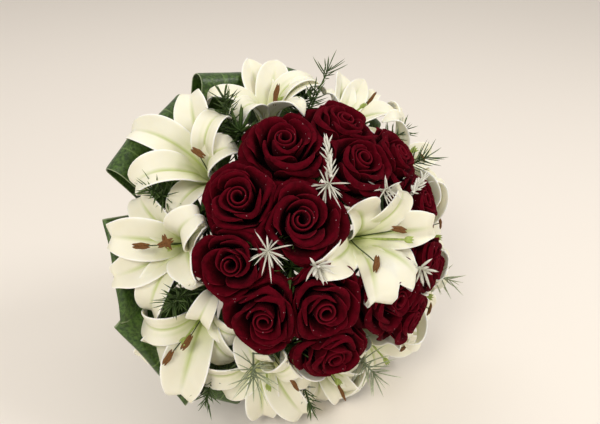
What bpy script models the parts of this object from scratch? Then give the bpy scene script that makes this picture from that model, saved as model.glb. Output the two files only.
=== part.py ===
"""Flower bouquet lying down: a dome of roses and lilies on wrapped stems.

Metres, +Z up, the table at z = 0 and the handle running away along +Y.
Every flower, leaf and sprig is one solid with its own stem.
"""

import math

import bmesh
import bpy
import numpy as np

# Driving dimensions
TILT = math.radians(27)  # rise of the bouquet axis above the table, handle to dome
DOME_CENTRE = np.array([0.0, -0.0401, 0.1238])
FOCUS_BACK = 0.050  # the point all flowers face away from, behind the dome centre
BINDING_BACK = 0.085  # where the stems meet, behind the dome centre
ROSE_SPHERE = 0.132  # rose buds, from the dome centre
ROSE_RADIUS = 0.031
ROSE_DEPTH = 0.036
ROSE_SIDES = 12
LILY_BASE = 0.097  # foot of a ring lily's trumpet, from the focus
CROWN_BASE = 0.130
LILY_RADIUS = 0.048
LILY_WALL = 0.0022
LEAF_POLAR = 66
LEAF_START = 0.064
LEAF_END = 0.170
LEAF_WIDTH = 0.050
LEAF_WALL = 0.0018
COLLAR_MARGIN = 3  # degrees between the ring lilies and the leaf collar
COLLAR_STEPS = (-18, -9, 0, 9, 18)
STEM_RADIUS = 0.0020
FLOWER_SEAT = 0.012  # how far a stem runs on into a lily; a rose or leaf takes less
ROSE_SEAT = 0.010
SLOT_PITCH = 0.0043
SLOT_RINGS = 4
STEM_BEND = 0.030  # the stems fan out past this height over the binding
STEM_SOFTNESS = 0.015
STEM_TAIL = 0.155  # binding to the cut stem ends
WRAP_TAIL = 0.134
WRAP_FRONT = 0.004
WRAP_WALL = 0.0022
WRAP_LAP = 0.0005  # step down where one turn of ribbon passes under the next
WRAP_TURNS = 6
WRAP_SIDES = 16
GAP = 0.0003
TABLE_GAP = 0.0012
CROWN_PIVOT = 0.158
CROWN_FLARE = math.radians(22)  # the crown petals spread over the roses past the pivot

# Polar angle off the bouquet axis and azimuth round it, degrees, seen from the dome centre
ROSES = [
    (38, -21),
    (40, 14),
    (23, 20),
    (38, 55),
    (42, -56),
    (21, -63),
    (43, -87),
    (41, -114),
    (25, -135),
    (27, 165),
    (39, -156),
    (37, 87),
    (43, 119),
    (45, 147),
]

# The same angles seen from the focus
CROWN_LILY = (3, 110)
RING_LILIES = [
    (48, 2),
    (48, 40),
    (49, 72),
    (49, 104),
    (49, 131),
    (48, 157),
    (48, -174),
    (47, -143),
    (49, -108),
    (49, -76),
    (47, -43),
]
LEAF_AZIMUTHS = [-8, 19, 52, 84, 112, 140, 168, -164, -113, -83, -47]

# Angles from the focus and the distance of the tip from it
GREEN_SPRIGS = [
    (39, -27, 0.188),
    (35, -3, 0.186),
    (55, 17, 0.186),
    (37, 56, 0.190),
    (38, 88, 0.190),
    (50, -61, 0.182),
    (45, -91, 0.180),
    (55, -120, 0.176),
    (52, -149, 0.174),
    (35, -179, 0.186),
    (41, 118, 0.188),
    (37, -134, 0.184),
]
WHITE_SPRIGS = [
    (16, -22, 0.200),
    (17, 50, 0.200),
    (23, -98, 0.196),
    (18, -104, 0.200),
    (21, 126, 0.200),
]

# Half-angles each piece claims round its own line from the focus, degrees
ROSE_CLAIM = 10.5
LILY_CLAIM = 14.0
SPRIG_CLAIM = 1.5
NEIGHBOUR_REACH = math.cos(math.radians(62))  # pieces further apart than this never meet

AXIS = np.array([0.0, -math.cos(TILT), math.sin(TILT)])
ACROSS = np.array([1.0, 0.0, 0.0])
UPRIGHT = np.array([0.0, math.sin(TILT), math.cos(TILT)])
FOCUS = DOME_CENTRE - FOCUS_BACK * AXIS
BINDING = DOME_CENTRE - BINDING_BACK * AXIS


def direction(polar, azimuth):
    polar, azimuth = math.radians(polar), math.radians(azimuth)
    side = math.sin(azimuth) * ACROSS + math.cos(azimuth) * UPRIGHT
    return math.cos(polar) * AXIS + math.sin(polar) * side


def unit(vector):
    return vector / np.linalg.norm(vector)


def spokes_round(line):
    """Two directions square to a line: the first leans away from the bouquet axis."""
    outward = line * (line @ AXIS) - AXIS
    if np.linalg.norm(outward) < 0.2:
        outward = UPRIGHT - line * (line @ UPRIGHT)
    outward = unit(outward)
    return outward, np.cross(line, outward)


def clear_scene():
    for obj in list(bpy.data.objects):
        bpy.data.objects.remove(obj, do_unlink=True)


def collection(name, hidden=False):
    made = bpy.data.collections.new(name)
    made.hide_render = hidden
    bpy.context.scene.collection.children.link(made)
    return made


def material(name, colour, roughness):
    made = bpy.data.materials.new(name)
    made.use_nodes = True
    shader = made.node_tree.nodes["Principled BSDF"]
    shader.inputs["Base Color"].default_value = (*colour, 1)
    shader.inputs["Roughness"].default_value = roughness
    made.diffuse_color = (*colour, 1)
    return made


def taken_mesh(obj):
    """The evaluated mesh of a helper object, which is then removed."""
    graph = bpy.context.evaluated_depsgraph_get()
    mesh = bpy.data.meshes.new_from_object(obj.evaluated_get(graph))
    bpy.data.objects.remove(obj, do_unlink=True)
    return mesh


def closed_up(mesh):
    """Merges doubled vertices and turns every face outward."""
    work = bmesh.new()
    work.from_mesh(mesh)
    bmesh.ops.remove_doubles(work, verts=work.verts, dist=1e-6)
    bmesh.ops.recalc_face_normals(work, faces=work.faces)
    work.to_mesh(mesh)
    work.free()


def points_of(mesh):
    flat = np.empty(len(mesh.vertices) * 3, np.float32)
    mesh.vertices.foreach_get("co", flat)
    return flat.reshape(-1, 3).astype(float)


def set_points(mesh, points):
    mesh.vertices.foreach_set("co", points.astype(np.float32).ravel())
    mesh.update()


def turned(name, profile, steps):
    """A Screw-turned mesh from (radius, height) pairs, top to bottom on the outside."""
    mesh = bpy.data.meshes.new(name)
    edges = [(i, i + 1) for i in range(len(profile) - 1)]
    mesh.from_pydata([(r, 0, h) for r, h in profile], edges, [])
    helper = bpy.data.objects.new(name, mesh)
    bpy.context.scene.collection.objects.link(helper)
    screw = helper.modifiers.new("turn", "SCREW")
    screw.steps = steps
    screw.render_steps = steps
    screw.use_merge_vertices = True
    screw.merge_threshold = 1e-6
    made = taken_mesh(helper)
    closed_up(made)
    return made


def flat_grid(name, columns, rows):
    """A grid on x and y from -1 to 1, to be bent into a petal or leaf sheet."""
    bpy.ops.mesh.primitive_grid_add(x_subdivisions=columns, y_subdivisions=rows, size=2)
    helper = bpy.context.object
    helper.name = name
    return taken_mesh(helper)


def tube(name, points):
    """A capped wire as thick as a stem through the points, as a mesh."""
    curve = bpy.data.curves.new(name, "CURVE")
    curve.dimensions = "3D"
    curve.bevel_depth = STEM_RADIUS
    curve.bevel_resolution = 1
    curve.use_fill_caps = True
    spline = curve.splines.new("POLY")
    spline.points.add(len(points) - 1)
    for spot, point in zip(spline.points, points):
        spot.co = (*point, 1)
    helper = bpy.data.objects.new(name, curve)
    bpy.context.scene.collection.objects.link(helper)
    mesh = taken_mesh(helper)
    closed_up(mesh)
    return mesh


def boundary(here, there, flare=0.0, pivot=0.0):
    """The plane between two cells as (normal, offset): this cell is where normal . p <= offset."""
    apart = math.acos(float(np.clip(here["line"] @ there["line"], -1, 1)))
    share = here["claim"] + there["claim"]
    if apart >= share:
        angle = here["claim"] + (apart - share) / 2
    elif "sprig" in (here["kind"], there["kind"]):
        angle = apart - there["claim"] if there["kind"] == "sprig" else here["claim"]
    else:
        angle = apart * here["claim"] / share
    across = unit(there["line"] - (there["line"] @ here["line"]) * here["line"])
    edge = math.cos(angle) * here["line"] + math.sin(angle) * across
    normal = math.cos(angle) * across - math.sin(angle) * here["line"]
    normal = math.cos(flare) * normal - math.sin(flare) * edge
    return normal, normal @ (FOCUS + pivot * edge) - GAP / 2


def cell_planes(cell, cells):
    """Every plane that this cell's solid has to stay behind, with the table as the last."""
    planes = []
    for other in cells:
        if other is cell or cell["line"] @ other["line"] < NEIGHBOUR_REACH:
            continue
        if cell["kind"] == "crown" and other["kind"] == "rose":
            planes.append(boundary(cell, other, CROWN_FLARE, CROWN_PIVOT))
        elif cell["kind"] == "rose" and other["kind"] == "crown":
            planes.append(boundary(cell, other, -CROWN_FLARE, CROWN_PIVOT))
        else:
            planes.append(boundary(cell, other))
    if cell["kind"] == "lily":
        for step in COLLAR_STEPS:
            azimuth = cell["azimuth"] + step
            normal = direction(LEAF_POLAR - COLLAR_MARGIN + 90, azimuth)
            planes.append((normal, normal @ FOCUS))
    planes.append((np.array([0.0, 0.0, -1.0]), -TABLE_GAP))
    return planes


def fitted(local, cell, base, planes, full_height=0.0):
    """Places (x, y, height) points on the cell's line and draws each spoke in to clear its planes."""
    radius = np.hypot(local[:, 0], local[:, 1])
    angle = np.round(np.arctan2(local[:, 1], local[:, 0]), 3)
    angle[radius < 1e-6] = 9
    outward, sideways = spokes_round(cell["line"])
    spoke = np.outer(np.cos(angle), outward) + np.outer(np.sin(angle), sideways)
    centre = FOCUS + np.outer(base + local[:, 2], cell["line"])
    limit = np.ones(len(local))
    for normal, offset in planes:
        reach = radius * (spoke @ normal)
        room = offset - centre @ normal
        short = reach > np.maximum(room, 1e-9)
        limit[short] = np.minimum(limit[short], room[short] / reach[short])
    for value in np.unique(angle):
        same = angle == value
        limit[same] = limit[same].min()
    limit = np.clip(limit, 0.2, 1)
    if full_height:
        weight = np.clip(local[:, 2] / full_height, 0, 1)
        limit = 1 - (1 - limit) * weight
    return centre + spoke * (radius * limit)[:, None]


def spread(height):
    """How far the stems have fanned out at a height past the binding."""
    start = 0.5 * (math.hypot(STEM_BEND, STEM_SOFTNESS) - STEM_BEND)
    past = height - STEM_BEND
    return 0.5 * (past + math.hypot(past, STEM_SOFTNESS)) - start


def slots():
    """Stem positions in the bundle: rings of a hexagonal packing."""
    found = []
    for q in range(-SLOT_RINGS, SLOT_RINGS + 1):
        for r in range(-SLOT_RINGS, SLOT_RINGS + 1):
            if abs(q + r) <= SLOT_RINGS:
                found.append((SLOT_PITCH * (q + r / 2), SLOT_PITCH * r * math.sqrt(3) / 2))
    return np.array(found)


def assign_slots(cells):
    """Gives each stem a slot, swapping pairs until no two stems cross on their way out."""
    places = slots()
    wish = np.array([cell["sideways"] / cell["spread"] for cell in cells])
    order = np.argsort(-np.linalg.norm(wish, axis=1))
    taken = -np.ones(len(places), int)
    for index in order:
        far = wish[index] / np.linalg.norm(wish, axis=1).max() * SLOT_PITCH * SLOT_RINGS
        cost = np.linalg.norm(places - far, axis=1) + 1e3 * (taken >= 0)
        taken[cost.argmin()] = index
    wish = np.vstack([wish, np.zeros(2)])
    changed = True
    while changed:
        changed = False
        for a in range(len(places)):
            for b in range(a + 1, len(places)):
                gain = (wish[taken[a]] - wish[taken[b]]) @ (places[a] - places[b])
                if taken[a] != taken[b] and gain < -1e-12:
                    taken[a], taken[b] = taken[b], taken[a]
                    changed = True
    for slot, index in enumerate(taken):
        if index >= 0:
            cells[index]["slot"] = places[slot]


def stem_path(cell):
    """From the cut end through the binding to the head's foot, then on along the cell's line."""
    side = (cell["sideways"] - cell["slot"]) / cell["spread"]
    heights = [-STEM_TAIL, 0.004, 0.022, 0.036, 0.056, 0.085]
    heights = [h for h in heights if h < cell["rise"] - 0.007] + [cell["rise"]]
    points = []
    for height in heights:
        offset = cell["slot"] + max(spread(height), 0) * side
        points.append(BINDING + height * AXIS + offset[0] * ACROSS + offset[1] * UPRIGHT)
    points.append(points[-1] + cell["into"] * cell["line"])
    return points


def cell_at(kind, name, line, foot, into, claim):
    """One flower, leaf or sprig: its line from the focus and where its stem meets it."""
    rise = BINDING_BACK - FOCUS_BACK + foot * (line @ AXIS)
    return {
        "kind": kind,
        "name": name,
        "line": line,
        "foot": foot,
        "into": into,
        "claim": math.radians(claim),
        "rise": rise,
        "spread": spread(rise),
        "sideways": foot * np.array([line @ ACROSS, line @ UPRIGHT]),
    }


def joined(mesh, cell, slot_material, thickness=0.0):
    """The named object: the head or blade, thickened if it is a sheet, united with its stem."""
    obj = bpy.data.objects.new(cell["name"], mesh)
    bouquet.objects.link(obj)
    mesh.materials.clear()
    mesh.materials.append(slot_material)
    if thickness:
        solidify = obj.modifiers.new("wall", "SOLIDIFY")
        solidify.thickness = thickness
        solidify.offset = 0
    stem_mesh = tube(f"stem_{cell['name']}", stem_path(cell))
    stem_mesh.materials.append(slot_material)
    stem = bpy.data.objects.new(f"stem_{cell['name']}", stem_mesh)
    stem.hide_render = True
    stem.display_type = "WIRE"
    cutters.objects.link(stem)
    union = obj.modifiers.new("stem", "BOOLEAN")
    union.operation = "UNION"
    union.solver = "EXACT"
    union.object = stem
    return obj


def rose_profile():
    """Bud, three furled rims and the underside, as shares of the head's radius and depth."""
    shares = [
        (0.0, 0.93),
        (0.14, 1.0),
        (0.24, 0.80),
        (0.42, 0.97),
        (0.52, 0.70),
        (0.72, 0.86),
        (0.80, 0.52),
        (1.0, 0.60),
        (0.92, 0.30),
        (0.45, 0.04),
        (0.0, 0.0),
    ]
    return [(r * ROSE_RADIUS, h * ROSE_DEPTH) for r, h in shares]


def build_rose(cell, cells):
    mesh = turned(cell["name"], rose_profile(), ROSE_SIDES)
    set_points(mesh, fitted(points_of(mesh), cell, cell["foot"], cell_planes(cell, cells)))
    joined(mesh, cell, materials["rose_velvet"])


def build_lily(cell, cells):
    """A six-lobed trumpet: each spoke runs up the funnel, and petal spokes run on and curl back."""
    mesh = flat_grid(cell["name"], 24, 5)
    points = points_of(mesh)
    angle = math.pi * (points[:, 0] + 1)
    lobe = np.abs(np.cos(3 * angle))
    along = (points[:, 1] + 1) / 2 * (0.66 + 0.34 * lobe)
    steps = [0, 0.22, 0.45, 0.65, 0.85, 1]
    radius = LILY_RADIUS * np.interp(along, steps, [0.05, 0.14, 0.30, 0.62, 0.95, 1.0])
    height = LILY_RADIUS * np.interp(along, steps, [0, 0.38, 0.86, 1.16, 1.17, 0.98])
    local = np.column_stack([radius * np.cos(angle), radius * np.sin(angle), height])
    planes = [(n, offset - LILY_WALL / 2) for n, offset in cell_planes(cell, cells)]
    full = 0.8 * LILY_RADIUS
    set_points(mesh, fitted(local, cell, cell["foot"], planes, full))
    closed_up(mesh)
    joined(mesh, cell, materials["lily_foam"], LILY_WALL)


def build_leaf(cell):
    """A pointed blade in the plane square to the flower collar, drawn short where it meets the table."""
    mesh = flat_grid(cell["name"], 8, 2)
    points = points_of(mesh)
    along = (points[:, 0] + 1) / 2
    width = LEAF_WIDTH / 2 * np.interp(along, [0, 0.3, 0.6, 0.85, 1], [0.12, 0.8, 1, 0.7, 0.12])
    tangent = direction(90, cell["azimuth"] + 90)
    back = unit(np.cross(tangent, cell["line"]))
    back = back if back @ AXIS < 0 else -back
    length = LEAF_END - LEAF_START
    while True:
        reach = cell["foot"] + length * along
        side = width * points[:, 1]
        sag = 0.004 * np.abs(points[:, 1]) * np.sin(math.pi * along) + 0.010 * along**2
        placed = FOCUS + np.outer(reach, cell["line"]) + np.outer(side, tangent)
        placed = placed + np.outer(sag, back)
        if placed[:, 2].min() > TABLE_GAP + LEAF_WALL:
            break
        length = length * 0.98
    set_points(mesh, placed)
    joined(mesh, cell, materials["leaf_green"], LEAF_WALL)


def build_sprig(cell, tip, slot_material):
    """Whorls of needles up a thin stem, kept inside the sprig's own narrow cone."""
    slope = 0.9 * math.tan(cell["claim"])
    length = tip - cell["foot"]
    profile = [(0, length)]
    for share in (0.84, 0.58):
        height = share * length
        profile.append((slope * (cell["foot"] + height), height))
        profile.append((0.4 * slope * (cell["foot"] + height), height - 0.07 * length))
    profile.append((0, 0.28 * length))
    mesh = turned(cell["name"], profile, 6)
    set_points(mesh, fitted(points_of(mesh), cell, cell["foot"], []))
    joined(mesh, cell, slot_material)


def build_wrap():
    """The ribbon round the stems: a tube open at both ends, stepped where the turns overlap."""
    inner = (SLOT_PITCH * SLOT_RINGS + STEM_RADIUS + GAP) / math.cos(math.pi / WRAP_SIDES)
    outer = inner + WRAP_WALL
    pitch = (WRAP_TAIL - WRAP_FRONT) / WRAP_TURNS
    profile = [(inner, -WRAP_FRONT)]
    for turn in range(WRAP_TURNS):
        top = -WRAP_FRONT - turn * pitch
        profile.append((outer - WRAP_LAP, top))
        profile.append((outer, top - 0.96 * pitch))
    profile.append((inner, -WRAP_TAIL))
    profile.append((inner, -WRAP_FRONT))
    mesh = turned("ribbon_wrap", profile, WRAP_SIDES)
    points = points_of(mesh)
    placed = BINDING + np.outer(points[:, 2], AXIS)
    placed = placed + np.outer(points[:, 0], ACROSS) + np.outer(points[:, 1], UPRIGHT)
    set_points(mesh, placed)
    closed_up(mesh)
    mesh.materials.append(materials["ribbon_satin"])
    obj = bpy.data.objects.new("ribbon_wrap", mesh)
    bouquet.objects.link(obj)


clear_scene()
bouquet = collection("bouquet")
cutters = collection("cutters", hidden=True)
materials = {
    "rose_velvet": material("rose_velvet", (0.22, 0.01, 0.03), 0.85),
    "lily_foam": material("lily_foam", (0.86, 0.85, 0.74), 0.6),
    "leaf_green": material("leaf_green", (0.03, 0.12, 0.04), 0.35),
    "sprig_green": material("sprig_green", (0.04, 0.13, 0.06), 0.55),
    "sprig_white": material("sprig_white", (0.80, 0.80, 0.76), 0.7),
    "ribbon_satin": material("ribbon_satin", (0.82, 0.79, 0.70), 0.4),
}

cells = []
for number, (polar, azimuth) in enumerate(ROSES, 1):
    bud = DOME_CENTRE + ROSE_SPHERE * direction(polar, azimuth) - FOCUS
    foot = np.linalg.norm(bud) - ROSE_DEPTH
    cells.append(cell_at("rose", f"rose_{number:02d}", unit(bud), foot, ROSE_SEAT, ROSE_CLAIM))
line = direction(*CROWN_LILY)
cells.append(cell_at("crown", "lily_crown", line, CROWN_BASE, FLOWER_SEAT, LILY_CLAIM))
for number, (polar, azimuth) in enumerate(RING_LILIES, 1):
    line = direction(polar, azimuth)
    made = cell_at("lily", f"lily_{number:02d}", line, LILY_BASE, FLOWER_SEAT, LILY_CLAIM)
    made["azimuth"] = azimuth
    cells.append(made)
sprigs = [(a, b, tip, "green") for a, b, tip in GREEN_SPRIGS]
sprigs = sprigs + [(a, b, tip, "white") for a, b, tip in WHITE_SPRIGS]
for number, (polar, azimuth, tip, colour) in enumerate(sprigs, 1):
    line = direction(polar, azimuth)
    name = f"sprig_{colour}_{number:02d}"
    into = 0.4 * (tip - LILY_BASE)
    made = cell_at("sprig", name, line, LILY_BASE, into, SPRIG_CLAIM)
    made["tip"] = tip
    made["colour"] = colour
    cells.append(made)
for number, azimuth in enumerate(LEAF_AZIMUTHS, 1):
    line = direction(LEAF_POLAR, azimuth)
    made = cell_at("leaf", f"leaf_{number:02d}", line, LEAF_START, ROSE_SEAT, 0.0)
    made["azimuth"] = azimuth
    cells.append(made)

assign_slots(cells)
heads = [cell for cell in cells if cell["kind"] != "leaf"]
for cell in cells:
    if cell["kind"] == "rose":
        build_rose(cell, heads)
    elif cell["kind"] in ("lily", "crown"):
        build_lily(cell, heads)
    elif cell["kind"] == "sprig":
        build_sprig(cell, cell["tip"], materials[f"sprig_{cell['colour']}"])
    else:
        build_leaf(cell)
build_wrap()
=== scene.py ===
import math

import bpy
import numpy as np
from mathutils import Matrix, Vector
from mathutils.bvhtree import BVHTree


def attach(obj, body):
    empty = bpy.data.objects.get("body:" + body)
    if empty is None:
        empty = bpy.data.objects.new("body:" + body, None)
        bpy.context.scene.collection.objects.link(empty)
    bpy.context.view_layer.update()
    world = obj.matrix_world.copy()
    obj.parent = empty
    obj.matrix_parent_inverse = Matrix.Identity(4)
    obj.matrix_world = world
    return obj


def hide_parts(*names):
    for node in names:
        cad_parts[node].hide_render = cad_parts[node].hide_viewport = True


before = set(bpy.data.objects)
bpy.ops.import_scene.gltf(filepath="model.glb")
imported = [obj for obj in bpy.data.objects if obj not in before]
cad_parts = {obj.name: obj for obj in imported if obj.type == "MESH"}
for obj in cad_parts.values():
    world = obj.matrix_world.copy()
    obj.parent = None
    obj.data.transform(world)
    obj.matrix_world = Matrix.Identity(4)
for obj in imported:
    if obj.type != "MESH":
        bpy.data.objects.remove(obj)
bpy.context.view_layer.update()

mm = 0.001
rad = math.radians
anyPhase = (0, 6.28)  # radians
goldenAngle = 2.39996  # radians

# The bouquet's own frame: its axis rises out of the wrapped handle towards the dome.
bouquet = {
    "tilt": 27,
    "domeCentre": np.array([0.0, -0.0401, 0.1238]),
    "focusBack": 0.050,  # the lilies and leaves fan out from here
    "bindingBack": 0.085,  # the stems are tied here
    "stemTail": 0.155,
}
tilt = rad(bouquet["tilt"])
axis = np.array([0.0, -math.cos(tilt), math.sin(tilt)])
across = np.array([1.0, 0.0, 0.0])
upright = np.array([0.0, math.sin(tilt), math.cos(tilt)])
focus = bouquet["domeCentre"] - bouquet["focusBack"] * axis
binding = bouquet["domeCentre"] - bouquet["bindingBack"] * axis


# vectors divided by their length
def unit(vector):
    return vector / np.linalg.norm(vector, axis=-1, keepdims=True)


# cos(polar) along the bouquet axis plus sin(polar) towards the azimuth, both in degrees
def direction(polar, azimuth):
    side = math.sin(rad(azimuth)) * across + math.cos(rad(azimuth)) * upright
    return math.cos(rad(polar)) * axis + math.sin(rad(polar)) * side


# two directions square to a line: outward leans away from the bouquet axis, sideways = line x outward
def spokes(line):
    outward = line * (line @ axis) - axis
    if np.linalg.norm(outward) < 0.2:  # the line runs along the axis
        outward = upright - line * (line @ upright)
    outward = unit(outward)
    return outward, np.cross(line, outward)


# 0 below low, 1 above high, 3t^2 - 2t^3 between
def ramp(x, low, high):
    t = np.clip((np.asarray(x, float) - low) / (high - low), 0, 1)
    return t * t * (3 - 2 * t)


# sin(90 degrees x t) for even steps of t from low to 1: close together near 1, and near -1
def crowded(low, count):
    return np.sin(math.pi / 2 * np.linspace(low, 1, count))


# exp(-(x / width)^2)
def bell(x, width):
    return np.exp(-((x / width) ** 2))


# Catmull-Rom curve through the points, sampled at equal steps of its length
def smoothLine(points, count):
    p = np.asarray(points, float)
    p = np.vstack([2 * p[0] - p[1], p, 2 * p[-1] - p[-2]])
    t = np.linspace(0, 1, 24, endpoint=False)[:, None]
    pieces = []
    for a, b, c, d in zip(p[:-3], p[1:-2], p[2:-1], p[3:]):
        cubic = 2 * b + (c - a) * t + (2 * a - 5 * b + 4 * c - d) * t**2
        pieces.append(0.5 * (cubic + (3 * b - a - 3 * c + d) * t**3))
    dense = np.vstack([*pieces, p[-2:-1]])
    length = np.append(0, np.cumsum(np.linalg.norm(np.diff(dense, axis=0), axis=1)))
    wanted = np.linspace(0, length[-1], count)
    return np.column_stack([np.interp(wanted, length, column) for column in dense.T])


# quads of a rows x columns grid of vertices; wrap closes the columns into a ring
def gridFaces(rows, columns, wrap=False):
    index = np.arange(rows * columns).reshape(rows, columns)
    if wrap:
        index = np.hstack([index, index[:, :1]])
    corners = [index[:-1, :-1], index[1:, :-1], index[1:, 1:], index[:-1, 1:]]
    return np.stack([c.ravel() for c in corners], axis=1)


# three numbers for each point of a grid, which the materials read as red, green and blue; they carry painted
# shade and painted rim highlights along with the throat, rib and edge colours
def shadeOf(shape, depth=0.0, rib=0.0, rimHighlight=0.0):
    shade = np.ones((*shape, 4))
    shade[..., 0], shade[..., 1], shade[..., 2] = depth, rib, rimHighlight
    return shade


# A thick sheet: the middle surface moved both ways along its normal by half its thickness.
# Half falls to nothing at both sides and the far rim, where front and back share their vertices.
def shell(mid, half, shade):
    normal = unit(np.cross(np.gradient(mid, axis=0), np.gradient(mid, axis=1)) + 1e-15)
    front, back = mid + normal * half[..., None], mid - normal * half[..., None]
    index = np.arange(half.size).reshape(half.shape)
    under = index + half.size
    under[0], under[-1], under[:, -1] = index[0], index[-1], index[:, -1]
    faces = gridFaces(*half.shape)
    quads = np.vstack([faces, under.ravel()[faces[:, ::-1]]])
    points = np.vstack([front.reshape(-1, 3), back.reshape(-1, 3)])
    return {"points": points, "quads": quads, "shades": np.tile(shade.reshape(-1, 4), (2, 1))}


# a wire: circles of the given radii square to the path; flat squashes them one way
def tube(path, radii, sides, depth=0.5, flat=1.0):
    path = np.asarray(path, float)
    tangent = unit(np.gradient(path, axis=0))
    aside = np.array([0.31, 0.52, 0.79])  # no path runs this way
    first = unit(np.cross(tangent, aside))
    second = np.cross(tangent, first) * flat
    turn = np.linspace(0, 2 * math.pi, sides, endpoint=False)[None, :, None]
    ring = np.cos(turn) * first[:, None] + np.sin(turn) * second[:, None]
    points = path[:, None] + ring * np.asarray(radii, float)[:, None, None]
    depth = np.broadcast_to(np.reshape(depth, (-1, 1)), points.shape[:2])
    shades = shadeOf(points.shape[:2], depth).reshape(-1, 4)
    quads = gridFaces(len(path), sides, wrap=True)
    return {"points": points.reshape(-1, 3), "quads": quads, "shades": shades}


# a new object in the scene
def addObject(name, data):
    obj = bpy.data.objects.new(name, data)
    bpy.context.scene.collection.objects.link(obj)
    return obj


# One mesh object from (part, material) pairs. It rides the body and stands in for a CAD node.
def makeObject(name, parts, cadNode):
    points, faces, shades, slots, uvs, materials = [], [], [], [], [], []
    count = 0
    for part, made in parts:
        if made not in materials:
            materials.append(made)
        points.append(part["points"])
        faces.append(part["quads"] + count)
        shades.append(part["shades"])
        slots.append(np.full(len(part["quads"]), materials.index(made)))
        uvs.append(part.get("uv", np.zeros((len(part["points"]), 2))))
        count += len(part["points"])
    faces = np.vstack(faces)
    used, compact = np.unique(faces, return_inverse=True)
    mesh = bpy.data.meshes.new(name)
    mesh.from_pydata(np.vstack(points)[used].tolist(), [], compact.reshape(faces.shape).tolist())
    mesh.polygons.foreach_set("material_index", np.concatenate(slots).astype(np.int32))
    mesh.polygons.foreach_set("use_smooth", np.ones(len(mesh.polygons), bool))
    layer = mesh.attributes.new("shade", "FLOAT_COLOR", "POINT")
    layer.data.foreach_set("color", np.vstack(shades)[used].astype(np.float32).ravel())
    if any("uv" in part for part, made in parts):
        corners = np.empty(len(mesh.loops), np.int32)
        mesh.loops.foreach_get("vertex_index", corners)
        grid = mesh.uv_layers.new(name="leafGrid")
        grid.data.foreach_set("uv", np.vstack(uvs)[used][corners].astype(np.float32).ravel())
    for made in materials:
        mesh.materials.append(made)
    mesh.update()
    obj = addObject(name, mesh)
    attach(obj, "root")
    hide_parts(cadNode)
    return obj


# a line's outward and sideways spokes and the line itself, as rows
def axesOf(line):
    return np.array([*spokes(line), line])


# local points in millimetres, z along the line, set on a base point
def placed(part, line, base):
    return {**part, "points": base + part["points"] * mm @ axesOf(line)}


# Materials


# plain numbers and colours on a node's own inputs
def setInputs(node, values):
    for name, value in values.items():
        node.inputs[name].default_value = value


# a socket takes another node's output, or a number or colour of its own
def feed(tree, socket, value):
    if isinstance(value, bpy.types.NodeSocket):
        tree.links.new(value, socket)
    elif value is not None:
        socket.default_value = (*value, 1) if isinstance(value, tuple) else value


# a Math node; each operand is a number or another node's output
def mathNode(tree, operation, first, second=None):
    made = tree.nodes.new("ShaderNodeMath")
    made.operation = operation
    for socket, value in zip(made.inputs, (first, second)):
        feed(tree, socket, value)
    return made.outputs[0]


# low to high becomes toLow to toHigh, and is held there outside
def remap(tree, value, low, high, toLow=0.0, toHigh=1.0):
    made = tree.nodes.new("ShaderNodeMapRange")
    tree.links.new(value, made.inputs["Value"])
    setInputs(made, {"From Min": low, "From Max": high, "To Min": toLow, "To Max": toHigh})
    return made.outputs["Result"]


# the first colour at factor 0, the second at 1
def mixColour(tree, factor, first, second):
    mix = tree.nodes.new("ShaderNodeMix")
    mix.data_type = "RGBA"
    sockets = mix.inputs["Factor"], mix.inputs[6], mix.inputs[7]
    for socket, value in zip(sockets, (factor, first, second)):
        feed(tree, socket, value)
    return mix.outputs[2]


# A shared effect: noise on object coordinates, spread from 0 to 1 between low and high.
def mottleGroup():
    group = bpy.data.node_groups.new("mottle", "ShaderNodeTree")
    for name, value in (("Scale", 100.0), ("Detail", 2.0), ("Low", 0.35), ("High", 0.65)):
        socket = group.interface.new_socket(name=name, in_out="INPUT", socket_type="NodeSocketFloat")
        socket.default_value = value
    group.interface.new_socket(name="Mask", in_out="OUTPUT", socket_type="NodeSocketFloat")
    given, result = group.nodes.new("NodeGroupInput"), group.nodes.new("NodeGroupOutput")
    place = group.nodes.new("ShaderNodeTexCoord")
    grain = group.nodes.new("ShaderNodeTexNoise")
    spread = group.nodes.new("ShaderNodeMapRange")
    for source, output, target, entry in (
        (place, "Object", grain, "Vector"),
        (given, "Scale", grain, "Scale"),
        (given, "Detail", grain, "Detail"),
        (grain, "Fac", spread, "Value"),
        (given, "Low", spread, "From Min"),
        (given, "High", spread, "From Max"),
        (spread, "Result", result, "Mask"),
    ):
        group.links.new(source.outputs[output], target.inputs[entry])
    return group


mottle = mottleGroup()


# the shared effect placed in one material
def mottled(tree, scale, detail=2.0, low=0.35, high=0.65):
    made = tree.nodes.new("ShaderNodeGroup")
    made.node_tree = mottle
    setInputs(made, {"Scale": scale, "Detail": detail, "Low": low, "High": high})
    return made.outputs["Mask"]


# a material with its Principled BSDF, and the vertex shade split into red, green and blue
def startMaterial(name, roughness, specular=0.5):
    made = bpy.data.materials.new(name)
    made.use_nodes = True
    tree = made.node_tree
    shader = tree.nodes["Principled BSDF"]
    setInputs(shader, {"Roughness": roughness, "Specular IOR Level": specular})
    attribute = tree.nodes.new("ShaderNodeAttribute")
    attribute.attribute_name = "shade"
    split = tree.nodes.new("ShaderNodeSeparateColor")
    tree.links.new(attribute.outputs["Color"], split.inputs["Color"])
    return made, tree, shader, split.outputs


# the colour goes to the shader, and a height as a bump
def finishMaterial(tree, shader, base, height, strength, distance):
    tree.links.new(base, shader.inputs["Base Color"])
    made = tree.nodes.new("ShaderNodeBump")
    setInputs(made, {"Strength": strength, "Distance": distance})
    tree.links.new(height, made.inputs["Height"])
    tree.links.new(made.outputs["Normal"], shader.inputs["Normal"])
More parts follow.
